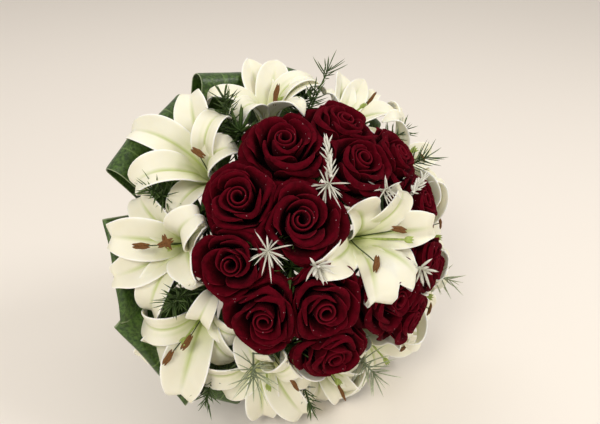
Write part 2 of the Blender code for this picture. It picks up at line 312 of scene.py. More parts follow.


# Flock: near black low between the petals as painted shade, red on the faces, lighter along the rolled rims
# as a painted highlight, with a fine pile and a few specks of white dust.
def velvetMaterial():
    look = {
        # painted shade between the petals, also the colour of the darker patches
        "darkForShadeAndPatches": (0.0030, 0.0001, 0.0003),
        "red": (0.098, 0.0009, 0.0064),
        # painted highlight for the rolled rims
        "rim": (0.165, 0.006, 0.015),
        "dust": (0.60, 0.38, 0.40),
        "dustScale": 210,
        "dustSize": (0.045, 0.075),
    }
    made, tree, shader, shade = startMaterial("roseVelvet", 0.92, 0.05)
    # painted shade: near black where the depth number is low, low and deep between the petals
    base = mixColour(tree, shade["Red"], look["darkForShadeAndPatches"], look["red"])
    worn = mathNode(tree, "MULTIPLY", mottled(tree, 230, 3, 0.4, 0.72), 0.55)
    base = mixColour(tree, worn, base, look["darkForShadeAndPatches"])
    # painted highlight: lighter along the rolled rims
    base = mixColour(tree, shade["Green"], base, look["rim"])
    dust = tree.nodes.new("ShaderNodeTexVoronoi")
    setInputs(dust, {"Scale": look["dustScale"]})
    place = tree.nodes.new("ShaderNodeTexCoord")
    tree.links.new(place.outputs["Object"], dust.inputs["Vector"])
    fleck = remap(tree, dust.outputs["Distance"], *look["dustSize"], 0.8, 0.0)
    base = mixColour(tree, fleck, base, look["dust"])
    sheen = {"Sheen Weight": 0.06, "Sheen Roughness": 0.35, "Sheen Tint": (1.0, 0.12, 0.20, 1)}
    setInputs(shader, sheen)
    finishMaterial(tree, shader, base, mottled(tree, 2400, 2, 0.2, 0.8), 0.45, 0.0005)
    return made


# Ivory foam: yellow-green deep in the throat and along the ribs, white rims as a painted highlight, faint
# mottling.
def foamMaterial():
    look = {
        "ivory": (0.82, 0.79, 0.63),
        "pale": (0.86, 0.84, 0.70),
        "throat": (0.50, 0.56, 0.16),
        "rib": (0.42, 0.52, 0.10),
        # painted highlight for the rims
        "rim": (0.97, 0.96, 0.90),
    }
    made, tree, shader, shade = startMaterial("lilyFoam", 0.5, 0.35)
    base = mixColour(tree, mottled(tree, 45), look["ivory"], look["pale"])
    base = mixColour(tree, shade["Red"], base, look["throat"])
    base = mixColour(tree, shade["Green"], base, look["rib"])
    # painted highlight: the rims turn near white
    base = mixColour(tree, shade["Blue"], base, look["rim"])
    setInputs(shader, {"Subsurface Weight": 0.2, "Subsurface Radius": (0.004, 0.0035, 0.002)})
    finishMaterial(tree, shader, base, mottled(tree, 900), 0.05, 0.0004)
    return made


# Glossy leaf: faint forked veins from its own grid (across, along) in centimetres, finely mottled green,
# painted shade darker down the folded back, pale along the cut edge.
def leafMaterial():
    look = {
        "dark": (0.020, 0.048, 0.006),
        "green": (0.080, 0.155, 0.024),
        "vein": (0.17, 0.26, 0.07),
        # painted shade on the strip that returns under the fold
        "underFoldShade": (0.008, 0.018, 0.005),
        "edge": (0.36, 0.42, 0.24),
        "veinGap": 0.7,
        "veinSlant": 0.75,
    }
    made, tree, shader, shade = startMaterial("leafGloss", 0.34, 0.4)
    grid = tree.nodes.new("ShaderNodeUVMap")
    grid.uv_map = "leafGrid"
    split = tree.nodes.new("ShaderNodeSeparateXYZ")
    tree.links.new(grid.outputs["UV"], split.inputs["Vector"])
    side = mathNode(tree, "ABSOLUTE", split.outputs["X"])
    drop = mathNode(tree, "MULTIPLY", side, look["veinSlant"])
    slant = mathNode(tree, "SUBTRACT", split.outputs["Y"], drop)
    slant = mathNode(tree, "ADD", slant, mathNode(tree, "MULTIPLY", mottled(tree, 40), 0.35))
    veins = remap(tree, mathNode(tree, "PINGPONG", slant, look["veinGap"]), 0.0, 0.035, 0.35, 0.0)
    midrib = remap(tree, side, 0.02, 0.08, 0.6, 0.0)
    lines = mathNode(tree, "MAXIMUM", veins, midrib)
    base = mixColour(tree, mottled(tree, 420, 4, 0.38, 0.66), look["dark"], look["green"])
    base = mixColour(tree, mathNode(tree, "MULTIPLY", mottled(tree, 60), 0.5), base, look["dark"])
    base = mixColour(tree, lines, base, look["vein"])
    # painted shade: near black along the strip that returns under the fold
    base = mixColour(tree, shade["Red"], base, look["underFoldShade"])
    base = mixColour(tree, shade["Green"], base, look["edge"])
    setInputs(shader, {"Coat Weight": 0.15, "Coat Roughness": 0.3})
    height = mathNode(tree, "ADD", mathNode(tree, "MULTIPLY", lines, -0.8), mottled(tree, 500, 3))
    finishMaterial(tree, shader, base, height, 0.3, 0.0006)
    return made


# the vertex depth number runs from the shaded foot of a needle to its lighter tip
def needleMaterial(name, low, high, roughness):
    made, tree, shader, shade = startMaterial(name, roughness, 0.3)
    base = mixColour(tree, shade["Red"], low, high)
    base = mixColour(tree, mathNode(tree, "MULTIPLY", mottled(tree, 700), 0.35), base, low)
    tree.links.new(base, shader.inputs["Base Color"])
    return made


# one colour, darker in patches, with a fine grain
def plainMaterial(name, colour, roughness, grain=400):
    made, tree, shader, _ = startMaterial(name, roughness, 0.25)
    darker = tuple(0.55 * c for c in colour)
    base = mixColour(tree, mathNode(tree, "MULTIPLY", mottled(tree, grain, 3), 0.7), colour, darker)
    finishMaterial(tree, shader, base, mottled(tree, 2 * grain), 0.2, 0.0003)
    return made


# satin: a fine grain as a bump, a soft sheen, the lap edges a little darker
def ribbonMaterial():
    look = {"cream": (0.80, 0.77, 0.68), "shaded": (0.72, 0.68, 0.58), "lap": (0.45, 0.41, 0.33)}
    made, tree, shader, shade = startMaterial("ribbonSatin", 0.36)
    base = mixColour(tree, mottled(tree, 70, 3), look["cream"], look["shaded"])
    base = mixColour(tree, shade["Green"], base, look["lap"])
    setInputs(shader, {"Sheen Weight": 0.3})
    finishMaterial(tree, shader, base, mottled(tree, 1500), 0.15, 0.0004)
    return made


roseVelvet = velvetMaterial()
lilyFoam = foamMaterial()
leafGloss = leafMaterial()
needleGreen = needleMaterial("needleGreen", (0.018, 0.040, 0.008), (0.115, 0.190, 0.045), 0.45)
needlePale = needleMaterial("needlePale", (0.050, 0.090, 0.030), (0.72, 0.76, 0.52), 0.6)
needleWhite = needleMaterial("needleWhite", (0.46, 0.46, 0.36), (0.95, 0.93, 0.87), 0.8)
stemGreen = plainMaterial("stemGreen", (0.045, 0.095, 0.035), 0.5)
antherBrown = plainMaterial("antherBrown", (0.190, 0.080, 0.022), 0.75, 900)
filamentGreen = plainMaterial("filamentGreen", (0.050, 0.080, 0.022), 0.5)
pistilGreen = plainMaterial("pistilGreen", (0.42, 0.52, 0.14), 0.5)
ribbonSatin = ribbonMaterial()
print("materials", len(bpy.data.materials))


# Stems

# the stems start to spread at the bend past the binding, and end inside the heads
stemShape = {"bend": 0.030, "softness": 0.015, "radius": 1.9 * mm, "intoHead": 0.010, "steps": 14, "sides": 8}


# How far the stems have spread at a height past the binding: a hinge at the bend, softened as
# (x + sqrt(x^2 + softness^2)) / 2 with x = height - bend, and started from 0.
def fanOut(height):
    bend, softness = stemShape["bend"], stemShape["softness"]
    start = 0.5 * (math.hypot(bend, softness) - bend)
    return max(0.5 * (height - bend + math.hypot(height - bend, softness)) - start, 0)


# where this CAD node's stem sits in the bundle, read from the last tenth at its cut end
def stemSlot(node):
    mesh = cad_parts[node].data
    flat = np.empty(len(mesh.vertices) * 3, np.float32)
    mesh.vertices.foreach_get("co", flat)
    offset = flat.reshape(-1, 3) - binding
    tail = offset[offset @ axis < -0.9 * bouquet["stemTail"]]
    return np.array([tail[:, 0].mean(), (tail @ upright).mean()])


# straight through the wrap, then offset = slot + fanOut(height) x share of the way to the head
def stem(node, line, base, radius):
    slot = stemSlot(node)
    rise = (base - binding) @ axis
    reach = np.array([(base - binding) @ across, (base - binding) @ upright])
    share = (reach - slot) / fanOut(rise)
    heights = np.append(-bouquet["stemTail"], np.linspace(0, rise, stemShape["steps"]))
    offset = slot + np.array([fanOut(h) for h in heights])[:, None] * share
    path = binding + np.outer(heights, axis) + offset @ np.array([across, upright])
    path = np.vstack([path[0], path, path[-1] + stemShape["intoHead"] * line])
    radii = np.full(len(path), radius)
    radii[0] = 0  # the cut end is closed
    part = tube(path, radii, stemShape["sides"])
    part["points"][: stemShape["sides"]] = path[0]
    return part


# adds the stem, and makes the object that stands in for the CAD node
def makePiece(name, kind, parts, line, base, radius=stemShape["radius"]):
    parts = [*parts, (stem(name, line, base, radius), stemGreen)]
    makeObject(name.replace("_", "") + kind, parts, name)


# Roses

roses = {
    # polar and azimuth from the dome centre, and the size of the head
    "rose_01": (39, -20, 1.0),
    "rose_02": (40, 18, 0.98),
    "rose_03": (24.5, 21, 0.97),
    "rose_04": (37.5, 54, 0.93),
    "rose_05": (41, -56, 0.98),
    "rose_06": (21.5, -61, 1.03),
    "rose_07": (42.5, -86, 0.96),
    "rose_08": (40.5, -115, 0.98),
    "rose_09": (26, -136, 1.02),
    "rose_10": (25.5, 160, 1.0),
    "rose_11": (40.5, -158, 0.95),
    "rose_12": (34, 84, 0.95),
    "rose_13": (42, 119, 0.93),
    "rose_14": (42, 150, 0.90),
}
roseShape = {
    "top": 0.1365,  # how far the tops of the heads lie from the dome centre
    "height": 0.0385,
    # petals, rim radius, rim height, half angle, roll outwards, tuck of one side; mm and degrees
    "layers": [
        (2, 11.0, 38.4, 104, 1.2, 0.20),
        (3, 15.6, 37.2, 74, 2.2, 0.16),
        (3, 20.6, 34.4, 70, 2.9, 0.13),
        (4, 24.6, 29.0, 56, 3.1, 0.10),
        (5, 27.0, 20.5, 47, 3.1, 0.08),
    ],
    "foot": (1.5, 4.0),
    "wall": [(0.52, 0.26), (0.83, 0.62), (0.955, 0.88)],  # shares of the rim's radius and height
    "roll": [(0.40, 0.05), (1.00, 0.35), (1.35, 1.15)],  # out and down past the rim, times the roll
    "half": 1.0,
    "rows": 21,
    "columns": 16,
    "steps": 80,
}
coreShape = {"turns": 1.9, "start": 2.9, "pitch": 2.7, "flare": 0.10, "foot": 12, "top": 38.6, "drop": 1.4}
# R of a full head, how near a neighbour counts, how far out they meet, their overlap, and the least share
roseRoom = {"reach": 29.0, "near": 32, "meet": 124, "overlap": 2.0, "least": 0.6}


# a strip rolled in a spiral: radius = start + pitch x turn, its top edge rounded
def roseCore(rng):
    turns, foot = coreShape["turns"], coreShape["foot"]
    u = np.linspace(0, 1, 56)
    v = crowded(0, 12)
    angle = u * turns * 2 * math.pi + rng.uniform(*anyPhase)
    radius = (coreShape["start"] + coreShape["pitch"] * turns * u)[:, None]
    radius = radius * (1 + coreShape["flare"] * (v[None, :] - 0.5))
    height = foot + ((coreShape["top"] - coreShape["drop"] * u)[:, None] - foot) * v[None, :]
    mid = np.stack([radius * np.cos(angle)[:, None], radius * np.sin(angle)[:, None], height], axis=-1)
    half = 0.95 * np.sqrt(1 - np.abs(2 * u - 1) ** 24)[:, None] * np.sqrt(1 - v**10)[None, :]
    # painted shade low in the rolled core, and a painted highlight along its top edge
    return shell(mid, half, shadeOf(half.shape, ramp(height, 28, 38), 0.7 * ramp(v, 0.93, 1.0)[None, :]))


# A cupped petal: a radius and height profile from the base to a rim rolled outwards.
# The angle is centre + u x half; both sides sit lower; tuck slips one side inside its neighbour;
# pinch draws the middle of the rim to a soft point.
def rosePetal(layer, centre, rng):
    _, rim, top, half, roll, tuck = layer
    u = crowded(-1, roseShape["rows"])[:, None]
    v = crowded(0, roseShape["columns"])[None, :]
    roll = roll * rng.uniform(0.7, 1.25)
    top = top + rng.normal(0, 0.8)
    rim = rim * (1 + rng.normal(0, 0.03))
    wall = [(rim * out, top * up) for out, up in roseShape["wall"]]
    over = [(rim + out * roll, top - down * roll) for out, down in roseShape["roll"]]
    profile = smoothLine([roseShape["foot"], *wall, *over], roseShape["steps"])
    peak = rng.uniform(-0.3, 0.3)
    reach = 1 - 0.30 * np.abs(u - peak) ** 2.8
    along = np.clip(v * reach, 0, 1)
    share = np.linspace(0, 1, roseShape["steps"])
    radius, height = np.interp(along, share, profile[:, 0]), np.interp(along, share, profile[:, 1])
    radius = radius * (1 + tuck * u)
    wave = rng.uniform(*anyPhase, 3)
    edge = ramp(along, 0.5, 1.0)
    pinch = bell(u - peak, 0.25) * rng.uniform(0.6, 2.8)
    ripple = 0.05 * rim * np.sin(2.6 * u + wave[0]) + 0.2 * np.sin(8 * u + wave[1])
    radius = radius + edge * (ripple + pinch - 0.7)
    height = height + edge * (0.9 * np.sin(3.6 * u + wave[2]) - 0.3 * pinch)
    angle = centre + rad(half) * u * (0.62 + 0.38 * along**0.7)
    mid = np.stack([radius * np.cos(angle), radius * np.sin(angle), height], axis=-1)
    thick = roseShape["half"] * np.sqrt(1 - np.abs(u) ** 12) * np.sqrt(1 - v**14)
    # painted shade: the depth number is 0 low and deep between the petals, where the velvet is painted near
    # black
    depth = ramp(along, 0.45, 0.92) * ramp(height, 4, 24)
    # painted highlight along the rim and the sides, weaker where the painted shade falls
    paintedRimHighlight = 0.75 * np.maximum(ramp(v, 0.975, 1.0), ramp(np.abs(u), 0.96, 1.0) * ramp(v, 0.6, 0.9))
    return shell(mid, thick, shadeOf(depth.shape, depth, paintedRimHighlight * (0.3 + 0.7 * depth)))


# A head gives way to its neighbours: r becomes r / (1 + (1/s - 1)(r/R)^2), where s is the share of
# its full radius R that is free before the plane half way to the next head.
def squeezed(points, name):
    line, full = roseLines[name], roseRoom["reach"]
    outward, sideways = spokes(line)
    radius = np.hypot(points[:, 0], points[:, 1])
    aim = np.outer(points[:, 0], outward) + np.outer(points[:, 1], sideways)
    aim = aim / np.maximum(radius, 1e-6)[:, None]
    room = np.ones(len(points))
    for other, otherLine in roseLines.items():
        gap = math.acos(np.clip(line @ otherLine, -1, 1))
        if other != name and gap < rad(roseRoom["near"]):
            facing = aim @ unit(otherLine - (otherLine @ line) * line)
            limit = (roseRoom["meet"] * math.tan(gap / 2) + roseRoom["overlap"]) / np.maximum(facing, 0.05)
            room = np.minimum(room, np.maximum(limit / full, roseRoom["least"]))
    bent = points.copy()
    bent[:, :2] /= (1 + (1 / room - 1) * (radius / full) ** 2)[:, None]
    return bent


roseLines = {name: direction(polar, azimuth) for name, (polar, azimuth, *_) in roses.items()}
roseBases = {}
for name, (*_, size) in roses.items():
    foot = roseShape["top"] - roseShape["height"] * size
    roseBases[name] = bouquet["domeCentre"] + foot * roseLines[name]

for number, (name, (*_, size)) in enumerate(roses.items()):
    rng = np.random.default_rng(41 + number)
    petals = [roseCore(rng)]
    start = rng.uniform(*anyPhase)
    for layer in roseShape["layers"]:
        start += rng.uniform(0.5, 1.1)
        shift = rng.normal(0, 0.5, 2)
        for k in range(layer[0]):
            part = rosePetal(layer, start + 2 * math.pi * k / layer[0] + rng.normal(0, 0.08), rng)
            part["points"][:, :2] += shift
            petals.append(part)
    solid = []
    for part in petals:
        part["points"] = squeezed(part["points"] * size, name)
        solid.append((placed(part, roseLines[name], roseBases[name]), roseVelvet))
    makePiece(name, "Bloom", solid, roseLines[name], roseBases[name])
print("roses", len(roses))


# Lilies

lilies = {
    # polar and azimuth from the focus, foot in mm, anthers by their two ends, tip of the pistil
    "lily_11": (45, -43, 112, [((6.8, -3.2, 50), (-5.4, -1.2, 48))], (9, -20, 48)),
    "lily_10": (48, -76, 112, [
        ((23.6, -0.2, 54), (8.7, 0.4, 54)), ((4.5, 0.7, 50), (-5.4, -3.1, 48)),
        ((0.6, -6.7, 50), (-3.4, 4.1, 48)),
    ], (-2, 2, 46)),
    "lily_09": (49, -108, 108, [
        ((19.6, 5.6, 52), (33.2, 13.1, 54)), ((0.4, 1.5, 50), (14.4, 8.7, 52)),
    ], (9, 3, 50)),
    "lily_08": (47, -143, 108, [((-13.6, 10.8, 48), (-11.5, 19.8, 58))], (4, 4, 48)),
    "lily_07": (49, -174, 108, [((-4, 1.6, 48), (1.1, 3.3, 63))], (-5, 2, 48)),
    "lily_06": (51, 157, 110, [((0, 8, 54), (8, 18, 54))], (4, -6, 50)),
    "lily_05": (52, 131, 115, [((8, 2, 54), (14, -8, 54))], (-4, 4, 50)),
    "lily_04": (53, 104, 116, [((10, 4, 54), (16, 14, 54))], (-4, -4, 50)),
    "lily_03": (53, 72, 116, [((10, -4, 54), (16, -14, 54))], (-4, 4, 50)),
    "lily_02": (52, 40, 115, [((-2.4, -7.7, 60), (-4.6, -6.9, 46))], (-6, -4, 44)),
    "lily_01": (51, 2, 108, [((-18, 8, 43), (-8, 0, 56))], (-16, 2, 46)),
    "lily_crown": (6, 108, 124, [
        ((3.6, -11.2, 50), (-2.5, -24, 52)), ((-10, 10.8, 54), (-20.9, 17.9, 55)),
    ], (-8.8, -23.1, 53)),
}
# A petal is (azimuth round the throat, length, width, the angle off the lily's own line at six even
# steps, and, where they aren't 0 and 60, its sideways turn and the extra bend at its tip).
curl = (6, 12, 30, 66, 170, 285)
rolled = (6, 16, 48, 84, 150, 235)
opened = (6, 26, 64, 88, 106, 140)
flared = (6, 18, 46, 70, 92, 125)
raised = (6, 14, 36, 56, 74, 92)
bowed = (6, 12, 34, 56, 84, 140)
lilyPetals = {
    "lily_11": [
        (-24, 100, 31, (6, 14, 58, 75, 99, 150), 40, 20), (47, 94, 31, (6, 12, 39, 50, 122, 196)),
        (-50, 94, 31, (6, 22, 60, 84, 98, 84), -3, 70), (-80, 96, 22, (6, 10, 6, 76, 154, 172), -10, 0),
        (-130, 72, 26, (6, 2, -4, 66, 157, 165), 9, 0), (88, 64, 27, (6, 23, 47, 67, 99, 150), -5),
    ],
    "lily_10": [
        (-57, 84, 28, (6, 9, 55, 95, 132, 140), 16), (-17, 82, 36, (6, 8, 42, 69, 80, 110), 14, 90),
        (41, 80, 33, (6, 18, 59, 77, 68, 60), -31, 90), (66, 91, 30, (6, 20, 60, 101, 134, 160), -12),
        (141, 63, 36, (6, 8, 34, 58, 66, 60), -24, 90), (-157, 66, 28, (4, 10, 24, 58, 110, 150)),
        (-123, 74, 30, (6, 7, 20, 30, 100, 158), -32),
    ],
    "lily_09": [
        (47, 94, 41, (6, 16, 51, 71, 79, 110), 0, 80), (2, 90, 31, (6, 11, 59, 94, 92, 92), 8, 30),
        (-13, 89, 26, (6, 17, 24, 88, 156, 158), -23, 0), (-150, 77, 22, (6, 0, 0, 51, 138, 258), 6, 0),
        (97, 79, 25, (6, 15, 48, 105, 150, 110), -12), (140, 67, 20, (6, 8, 26, 86, 172, 196), -32, 0),
    ],
    "lily_08": [
        (20, 89, 31, (6, 16, 58, 79, 97, 110), 20, 70), (64, 92, 31, (6, 13, 56, 71, 83, 110)),
        (-24, 92, 28, (6, 13, 60, 110, 149, 150), 10), (-64, 94, 28, (6, 18, 45, 83, 152, 200)),
        (-125, 80, 28, curl), (160, 91, 25, (6, 3, 7, 82, 160, 223), 17, 0),
    ],
    "lily_07": [
        (6, 73, 30, (6, 16, 50, 74, 95, 110), 0, 30), (40, 90, 29, curl),
        (93, 86, 22, (6, 5, 18, 100, 154, 105), -46, 0), (156, 68, 28, raised), (-128, 90, 29, rolled),
        (-50, 72, 30, (6, 16, 44, 76, 112, 246), 10, 0),
    ],
    "lily_06": [
        (-6, 80, 29, flared), (52, 88, 30, raised), (112, 86, 29, flared), (172, 70, 28, raised),
        (-124, 84, 28, opened), (-66, 88, 29, (6, 16, 46, 76, 110, 170)),
    ],
    "lily_05": [
        (4, 88, 30, raised), (64, 88, 29, flared), (122, 88, 29, bowed), (-178, 74, 28, opened),
        (-116, 88, 29, bowed), (-58, 88, 30, (6, 16, 46, 76, 120, 190)),
    ],
    "lily_04": [
        (-4, 88, 30, raised), (56, 90, 29, flared), (118, 90, 29, bowed), (176, 76, 28, opened),
        (-122, 90, 29, (6, 12, 34, 60, 96, 160)), (-62, 88, 30, flared),
    ],
    "lily_03": [
        (-26, 86, 30, (6, 12, 28, 40, 54, 72)), (60, 88, 29, raised),
        (122, 86, 28, (6, 14, 38, 60, 84, 120)), (-178, 76, 28, opened),
        (-120, 88, 29, (6, 14, 36, 62, 104, 170)), (-72, 88, 30, (6, 12, 34, 56, 80, 120)),
    ],
    "lily_02": [
        (-7, 75, 25, (6, 10, 39, 57, 46, 70), -17, 0), (26, 70, 31, (6, 11, 39, 50, 55, 83), -20, 0),
        (80, 50, 28, (6, 12, 28, 38, 50, 76)), (-35, 80, 20, (6, 20, 46, 58, 50, 40), -4),
        (170, 80, 30, opened), (-130, 84, 30, (6, 26, 66, 96, 126, 155)),
        (-66, 80, 33, (6, 18, 46, 48, 76, 90), -20, 30),
    ],
    "lily_01": [
        (-1, 73, 31, (6, 15, 49, 60, 57, 76), -9, 0), (-33, 73, 31, (6, 11, 37, 51, 61, 82), -3, 0),
        (64, 76, 28, (6, 12, 46, 76, 90, 110)), (104, 82, 22, (6, 9, 34, 72, 180, 252), 6, 0),
        (-176, 74, 25, (6, 4, 34, 48, 60, 100), 2, 40), (-95, 83, 23, (6, 8, 28, 56, 104, 156), -1, 0),
        (-70, 88, 23, (6, 10, 22, 71, 108, 168), -26, 0),
    ],
    "lily_crown": [
        (-92, 88, 32, (6, 12, 53, 72, 76, 80), -8, 150), (-142, 76, 40, (6, 11, 56, 80, 88, 100), -6, 150),
        (170, 71, 32, (6, 13, 56, 84, 94, 100), 10, 150), (106, 82, 31, (6, 17, 62, 75, 78, 82), -12, 150),
        (4, 69, 34, (6, 6, 18, 108, 182, 212), -6, 0), (-58, 94, 20, (6, 16, 30, 78, 150, 240), 2, 0),
    ],
}
# the crown lily lies on the roses, seen from the side the photograph shows
photoSide = direction(28, -76)
petalShape = {
    "half": 0.8,
    "slim": 0.86,
    "foot": 0.13,  # half width at the throat, as a share
    "widest": 1.35,  # the power that puts the widest place past the middle
    "fold": 0.48,
    "ribAt": 3.6,
    "tip": (0.83, 0.91),  # the stretch where the tip bends
    "rows": 17,
    "columns": 36,
    "steps": 120,
}
# the space a rose head takes up round its middle, and how petals are moved out of it
headRoom = {"middle": 16 * mm, "radius": 32 * mm, "height": 26 * mm, "power": 2.6, "rounds": 12}
mostMove = 6 * mm


# Moves a petal out of the rose heads it would cut through. A head fills (r/radius)^2.6 + (z/height)^2.6
# < 1 round its middle; points inside go away from that middle, turned by the lean. The moves are averaged
# with their neighbours on the grid, start past the throat, and stay the same beyond the bend near the tip.
def clearOfRoses(mid, v, lean):
    power = headRoom["power"]
    last = int(np.sum(v < petalShape["tip"][0]))
    weight = ramp(v, 0.12, 0.3)
    for _ in range(headRoom["rounds"]):
        move = np.zeros_like(mid)
        for name, line in roseLines.items():
            away = mid - roseBases[name] - headRoom["middle"] * line
            z = away @ line
            r = np.linalg.norm(away - z[..., None] * line, axis=-1)
            inside = (r / headRoom["radius"]) ** power + (np.abs(z) / headRoom["height"]) ** power
            grow = np.clip(np.maximum(inside, 0.02) ** (-1 / power) - 1, 0, 1.5)
            size = np.minimum(np.linalg.norm(away, axis=-1) * grow * weight, mostMove)
            move += size[..., None] * unit(unit(away) + lean)
        for _ in range(2):
            wide = np.pad(move, ((1, 1), (1, 1), (0, 0)), mode="edge")
            move = (wide[:-2, 1:-1] + wide[2:, 1:-1] + wide[1:-1, :-2] + wide[1:-1, 2:] + 2 * move) / 6
        move[:, last:] = move[:, last : last + 1]
        mid = mid + 0.7 * move
    return mid


# The middle line of a petal, and the directions sideways and inward from it, at each v. Its angle off the
# lily's line runs through the given six, averaged over a fifth of its length, plus the bend at the tip.
def petalSpine(v, outer, azimuth, length, angles, sway, tipBend):
    steps = petalShape["steps"]
    fine = np.linspace(0, 1, steps)
    slope = np.interp(fine, np.linspace(0, 1, len(angles)), angles)
    slope = np.convolve(np.pad(slope, 12, mode="edge"), np.ones(25) / 25, "valid")
    slope = np.radians(slope + tipBend * ramp(fine, *petalShape["tip"]))
    turn = np.radians(azimuth + sway * fine)
    tangent = np.stack([np.sin(slope) * np.cos(turn), np.sin(slope) * np.sin(turn), np.cos(slope)], axis=-1)
    middle = np.cumsum(tangent, axis=0) * length / (steps - 1)
    wall = np.array([math.cos(turn[0]), math.sin(turn[0]), 0])
    middle += (1.6 + 0.5 * outer) * wall - np.array([0, 0, 1.0 * outer])
    sideways = np.stack([-np.sin(turn), np.cos(turn), 0 * turn], axis=-1)
    fields = middle, sideways, np.cross(tangent, sideways)
    return [np.column_stack([np.interp(v, fine, column) for column in field.T])[None] for field in fields]


# A lily petal. Half its width is slim x width / 2 x sqrt(foot^2 + sin(pi v^widest)^1.5). Across, it is an
# arc as tight as the throat near the foot, and a shallow V with two low ribs beyond it.
def petal(line, base, lean, outer, rng, azimuth, length, width, angles, sway=0, tipBend=60):
    v = 1 - (1 - np.linspace(0, 1, petalShape["columns"])) ** 1.15
    middle, sideways, inward = petalSpine(v, outer, azimuth, length, angles, sway, tipBend)
    u = crowded(-1, petalShape["rows"])[:, None]
    v = v[None, :]
    belly = np.clip(np.sin(math.pi * v ** petalShape["widest"]), 0, 1) ** 1.5
    wide = 0.5 * petalShape["slim"] * width * np.sqrt(petalShape["foot"] ** 2 + belly)
    y = u * wide * np.sqrt(np.clip(1 - v**16, 0, 1))
    throatRadius = np.maximum(np.hypot(middle[..., 0], middle[..., 1]), 2.0)
    curvature = (1 - ramp(v, 0.08, 0.40)) / throatRadius + 0.004
    lateral, lift = np.sin(curvature * y) / curvature, (1 - np.cos(curvature * y)) / curvature
    side = np.abs(y)
    lift = lift + petalShape["fold"] * ramp(v, 0.15, 0.5) * (np.sqrt(y**2 + 0.5) - 0.7)
    fade = ramp(v, 0.05, 0.25) * (1 - ramp(v, 0.62, 0.95))
    rib = 0.35 * bell(side - petalShape["ribAt"], 1.2)
    lift = lift + fade * (rib - 0.5 * bell(side, 0.8))
    phase = rng.uniform(*anyPhase, 2)
    lift = lift + 0.8 * np.abs(u) ** 3 * np.sin(8 * v + phase[0]) * ramp(v, 0.3, 0.6)
    lift = lift + 1.0 * u * np.sin(3 * v + phase[1]) * ramp(v, 0.3, 1)
    mid = middle + lateral[..., None] * sideways + lift[..., None] * inward
    half = petalShape["half"] * np.sqrt(1 - np.abs(u) ** 14) * np.sqrt(1 - v**30)
    throat = (1 - ramp(v, 0.16, 0.62)) * (0.85 - 0.3 * np.abs(u))
    # painted highlight along the rims and the end of the petal
    edge = np.maximum(ramp(np.abs(u), 0.90, 1.0), ramp(v, 0.96, 1.0)) * ramp(v, 0.2, 0.4)
    ribs = 0.75 * bell(side, 0.8) * ramp(v, 0.1, 0.3) * (1 - ramp(v, 0.55, 0.9))
    outerRibs = 0.30 * bell(side - 3.9, 0.7)
    ribs = ribs + outerRibs * ramp(v, 0.15, 0.35) * (1 - ramp(v, 0.45, 0.75))
    mid = clearOfRoses(base + mid * mm @ axesOf(line), v, lean)
    return shell(mid, half * mm, shadeOf(half.shape, throat, ribs, edge))


stamenShape = {"wire": 0.45, "anther": 1.5, "reach": 6.5, "lobes": 0.95, "droop": 0.9}


# a thin filament out of the throat, and a flattened two-lobed anther slung across its end
def stamen(first, second):
    ends = np.array([first, second], float)
    middle = ends.mean(axis=0)
    aim = unit(ends[1] - ends[0])
    hold = np.array([middle[0] * 0.75, middle[1] * 0.75, middle[2] * 0.82])
    path = smoothLine([(0.3, 0.3, 14), 0.45 * hold + np.array([0, 0, 6]), hold, middle], 10)
    parts = [(tube(path, np.full(len(path), stamenShape["wire"]), 5), filamentGreen)]
    s = np.linspace(-1, 1, 11)
    droop = np.cross(aim, np.cross(aim, np.array([0.1, 0.2, 1.0])))
    lobe = np.cross(aim, droop)
    reach = max(0.5 * np.linalg.norm(ends[1] - ends[0]), stamenShape["reach"])
    for sign in (-1, 1):
        line = middle + np.outer(reach * s, aim) + np.outer(stamenShape["droop"] * s**2, droop)
        line = line + sign * stamenShape["lobes"] * lobe
        radii = stamenShape["anther"] * np.clip(1 - np.abs(s) ** 1.8, 0, 1) ** 0.7
        parts.append((tube(line, radii * (1 + 0.15 * np.sin(6 * s + sign)), 8, flat=0.85), antherBrown))
    return parts


# a pale style that ends in a flattened three-lobed tip
def pistil(tip):
    tip = np.array(tip, float)
    up = np.array([0, 0, 1])
    path = smoothLine([12 * up, 0.4 * tip + 8 * up, 0.85 * tip + 4 * up, tip], 12)
    parts = [(tube(path, np.linspace(1.0, 0.8, len(path)), 7), pistilGreen)]
    aim = unit(path[-1] - path[-3])
    side = unit(np.cross(aim, np.array([0.3, 0.1, 1.0])))
    s = np.linspace(0, 1, 7)
    for sign in (-1, 0, 1):
        lobe = path[-2] + np.outer(7.5 * s, unit(aim + 0.35 * sign * side))
        parts.append((tube(lobe, 1.7 * np.sin(math.pi * s**0.7) + 0.02, 7, flat=0.7), pistilGreen))
    return parts


allPetals = []
for number, (name, (polar, azimuth, foot, anthers, tip)) in enumerate(lilies.items()):
    rng = np.random.default_rng(90 + number)
    line = direction(polar, azimuth)
    base = focus + foot * mm * line
    lean = 5 * photoSide if name == "lily_crown" else 1.2 * line
    solid = pistil(tip)
    for ends in anthers:
        solid += stamen(*ends)
    solid = [(placed(part, line, base), made) for part, made in solid]
    grown = [petal(line, base, lean, k % 2, rng, *spec) for k, spec in enumerate(lilyPetals[name])]
    allPetals += grown
    solid += [(part, lilyFoam) for part in grown]
    makePiece(name, "Bloom", solid, line, base)
print("lilies", len(lilies))


# Leaves

